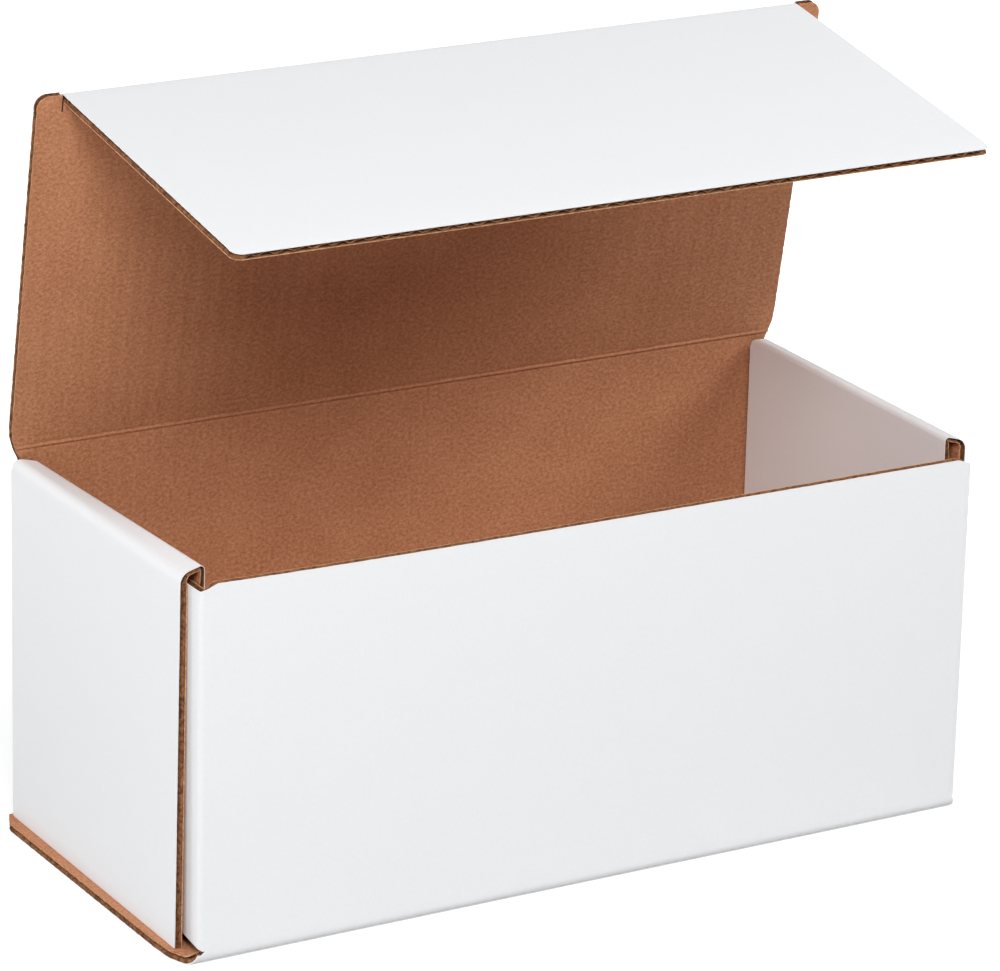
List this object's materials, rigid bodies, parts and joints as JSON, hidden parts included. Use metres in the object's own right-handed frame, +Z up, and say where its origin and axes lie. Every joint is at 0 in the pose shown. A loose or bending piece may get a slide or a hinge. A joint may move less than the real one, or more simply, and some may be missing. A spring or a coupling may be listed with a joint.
{
  "type": "corrugated mailer box",
  "caption": "Folded corrugated mailer with rolled side walls, held dust flaps, a hinged lid and a tuck flap, standing open for packing.",
  "frame": {"origin": "middle of the tray's footprint, on the surface the box stands on", "axes": "+X along the long side to the right, +Y from the front wall to the hinged back wall, +Z up"},
  "size_m": [0.3046, 0.1426, 0.2586],
  "materials": {
    "white_board": "matte white liner on corrugated board",
    "kraft_board": "matte brown kraft liner on corrugated board"
  },
  "bodies": {
    "tray": {"tray": "white_board"},
    "lid": {"lid": "kraft_board"},
    "tuck_flap": {"tuck_flap": "white_board"}
  },
  "joints": [
    {"name": "lid_hinge", "type": "hinge", "parent": "tray", "child": "lid", "pos_m": [0, 0.0659, 0.1334], "axis": [-1, 0, 0], "range_deg": [-61, 100]},
    {"name": "tuck_hinge", "type": "hinge", "parent": "lid", "child": "tuck_flap", "pos_m": [0, 0.04411, 0.25699], "axis": [1, 0, 0], "range_deg": [-90, 30]}
  ]
}
